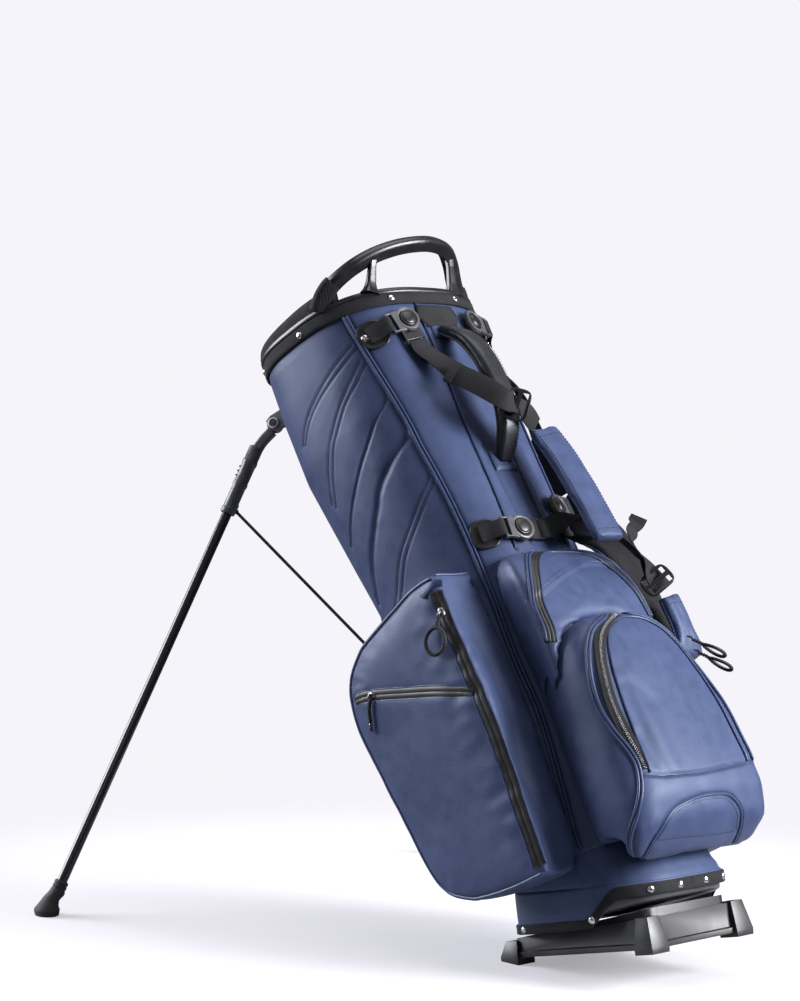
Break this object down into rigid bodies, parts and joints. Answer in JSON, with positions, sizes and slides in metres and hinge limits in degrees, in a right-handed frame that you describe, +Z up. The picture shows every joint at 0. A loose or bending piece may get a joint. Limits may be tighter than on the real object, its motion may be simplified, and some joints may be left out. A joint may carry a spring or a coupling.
{
  "type": "golf stand bag",
  "caption": "Leaning golf stand bag in quilted blue leather with black moulded mouth, lift handle, pockets, shoulder straps, flexing base and two swing-out legs.",
  "frame": {"origin": "centre of the bounding box on the ground, with the bag standing on its leg-side base feet and both leg feet", "axes": "+Z up; +X towards the bag's pocket (spine) side and -X towards its legs; +Y to the bag's far side, square to its middle plane"},
  "size_m": [0.776, 0.7096, 0.8385],
  "materials": {
    "blue_leather": "satin slate-blue synthetic leather with fine grain",
    "black_fabric": "black woven binding and lining",
    "black_leather": "glossy black padded leather",
    "black_plastic": "fine-textured moulded black plastic",
    "grey_plastic": "satin dark grey moulded plastic",
    "black_tube": "gloss black anodised tube",
    "rubber": "matt black rubber",
    "webbing": "black ribbed nylon webbing",
    "steel": "polished nickel-plated metal"
  },
  "bodies": {
    "bag": {"body_shell": "blue_leather", "collar_cuff": "black_fabric", "collar_trim": "black_fabric", "top_collar": "black_plastic", "divider_sheet": "black_fabric", "side_pocket_far": "blue_leather", "side_pocket_near": "blue_leather", "ball_pocket": "blue_leather", "upper_pocket": "blue_leather", "spine_patch": "blue_leather", "grab_handle": "black_leather", "buckle_body_top_near": "grey_plastic", "anchor_plate_top_near": "webbing", "buckle_body_top_far": "grey_plastic", "anchor_plate_top_far": "webbing", "buckle_body_mid_near": "grey_plastic", "anchor_plate_mid_near": "webbing", "buckle_body_mid_far": "grey_plastic", "anchor_plate_mid_far": "webbing", "shoulder_pad_a": "blue_leather", "shoulder_pad_b": "blue_leather", "webbing_top_near": "webbing", "webbing_top_far": "webbing", "webbing_mid_near": "webbing", "webbing_mid_far": "webbing", "ladder_lock_top_near": "black_plastic", "ladder_lock_top_far": "black_plastic", "ladder_lock_mid_near": "black_plastic", "leg_bracket": "grey_plastic", "leg_pin_near": "steel", "leg_pin_far": "steel", "rod_guide": "black_plastic", "flex_gusset": "blue_leather"},
    "base": {"base_plate": "black_plastic", "boot_binding": "black_fabric", "boot_leather": "blue_leather", "bottom_cup": "grey_plastic"},
    "leg_near": {"leg_sleeve_near": "grey_plastic", "leg_tube_near": "black_tube", "leg_foot_near": "rubber"},
    "leg_far": {"leg_sleeve_far": "grey_plastic", "leg_tube_far": "black_tube", "leg_foot_far": "rubber"},
    "rod_carriage": {"rod_carriage": "black_plastic"},
    "rod_near": {"push_rod_near": "black_tube"},
    "rod_far": {"push_rod_far": "black_tube"},
    "button_top_near": {"push_button_top_near": "black_plastic"},
    "swivel_top_near": {"swivel_frame_top_near": "black_plastic"},
    "button_top_far": {"push_button_top_far": "black_plastic"},
    "swivel_top_far": {"swivel_frame_top_far": "black_plastic"},
    "button_mid_near": {"push_button_mid_near": "black_plastic"},
    "swivel_mid_near": {"swivel_frame_mid_near": "black_plastic"},
    "button_mid_far": {"push_button_mid_far": "black_plastic"},
    "swivel_mid_far": {"swivel_frame_mid_far": "black_plastic"},
    "zip_long_near": {"zip_slider_long_near": "steel"},
    "zip_cross_near": {"zip_slider_cross_near": "steel"},
    "zip_long_far": {"zip_slider_long_far": "steel"},
    "zip_cross_far": {"zip_slider_cross_far": "steel"}
  },
  "joints": [
    {"name": "base_flex", "type": "hinge", "parent": "bag", "child": "base", "pos_m": [0.15731, 0, 0.0771], "axis": [0, -1, 0], "range_deg": [0, 14], "deforming": ["flex_gusset"]},
    {"name": "leg_near_swing", "type": "hinge", "parent": "bag", "child": "leg_near", "pos_m": [-0.28605, -0.057, 0.60351], "axis": [0.472, -0.8219, 0.319], "range_deg": [0, 47.68]},
    {"name": "leg_far_swing", "type": "hinge", "parent": "bag", "child": "leg_far", "pos_m": [-0.28605, 0.057, 0.60351], "axis": [-0.472, -0.8219, -0.319], "range_deg": [0, 47.68]},
    {"name": "rod_slide", "type": "slide", "parent": "bag", "child": "rod_carriage", "axis": [0.5599, 0, -0.8285], "range_m": [0, 0.0661]},
    {"name": "rod_near_pivot", "type": "hinge", "parent": "rod_carriage", "child": "rod_near", "pos_m": [-0.01196, -0.008, 0.24078], "axis": [-0.4922, 0.8176, -0.299], "range_deg": [0, 12.32]},
    {"name": "rod_far_pivot", "type": "hinge", "parent": "rod_carriage", "child": "rod_far", "pos_m": [-0.01196, 0.008, 0.24078], "axis": [0.4922, 0.8176, 0.299], "range_deg": [0, 12.32]},
    {"name": "button_press_top_near", "type": "slide", "parent": "bag", "child": "button_top_near", "axis": [-0.8041, 0.2409, -0.5434], "range_m": [0, 0.002]},
    {"name": "strap_swivel_top_near", "type": "hinge", "parent": "bag", "child": "swivel_top_near", "pos_m": [-0.05414, -0.05538, 0.73307], "axis": [0.8041, -0.2409, 0.5434], "range_deg": [-15, 15]},
    {"name": "button_press_top_far", "type": "slide", "parent": "bag", "child": "button_top_far", "axis": [-0.8041, -0.2409, -0.5434], "range_m": [0, 0.002]},
    {"name": "strap_swivel_top_far", "type": "hinge", "parent": "bag", "child": "swivel_top_far", "pos_m": [-0.05414, 0.05538, 0.73307], "axis": [0.8041, 0.2409, 0.5434], "range_deg": [-15, 15]},
    {"name": "button_press_mid_near", "type": "slide", "parent": "bag", "child": "button_mid_near", "axis": [-0.8216, 0.1295, -0.5552], "range_m": [0, 0.002]},
    {"name": "strap_swivel_mid_near", "type": "hinge", "parent": "bag", "child": "swivel_mid_near", "pos_m": [0.11799, -0.03021, 0.49154], "axis": [0.8216, -0.1295, 0.5552], "range_deg": [-15, 15]},
    {"name": "button_press_mid_far", "type": "slide", "parent": "bag", "child": "button_mid_far", "axis": [-0.7896, -0.3029, -0.5336], "range_m": [0, 0.002]},
    {"name": "strap_swivel_mid_far", "type": "hinge", "parent": "bag", "child": "swivel_mid_far", "pos_m": [0.0967, 0.05248, 0.51336], "axis": [0.7896, 0.3029, 0.5336], "range_deg": [-15, 15]},
    {"name": "zip_long_run_near", "type": "slide", "parent": "bag", "child": "zip_long_near", "axis": [0.5599, 0, -0.8285], "range_m": [0, 0.17]},
    {"name": "zip_cross_run_near", "type": "slide", "parent": "bag", "child": "zip_cross_near", "axis": [0.9945, 0, 0.1048], "range_m": [0, 0.14]},
    {"name": "zip_long_run_far", "type": "slide", "parent": "bag", "child": "zip_long_far", "axis": [0.5599, 0, -0.8285], "range_m": [0, 0.17]},
    {"name": "zip_cross_run_far", "type": "slide", "parent": "bag", "child": "zip_cross_far", "axis": [0.9945, 0, 0.1048], "range_m": [0, 0.14]}
  ],
  "couplings": [
    {"joint": "leg_near_swing", "follows": "base_flex", "ratio": 3.4052},
    {"joint": "leg_far_swing", "follows": "base_flex", "ratio": 3.4052},
    {"joint": "rod_slide", "follows": "base_flex", "m_per_rad": 0.27032},
    {"joint": "rod_near_pivot", "follows": "base_flex", "ratio": 0.8793},
    {"joint": "rod_far_pivot", "follows": "base_flex", "ratio": 0.8793}
  ]
}
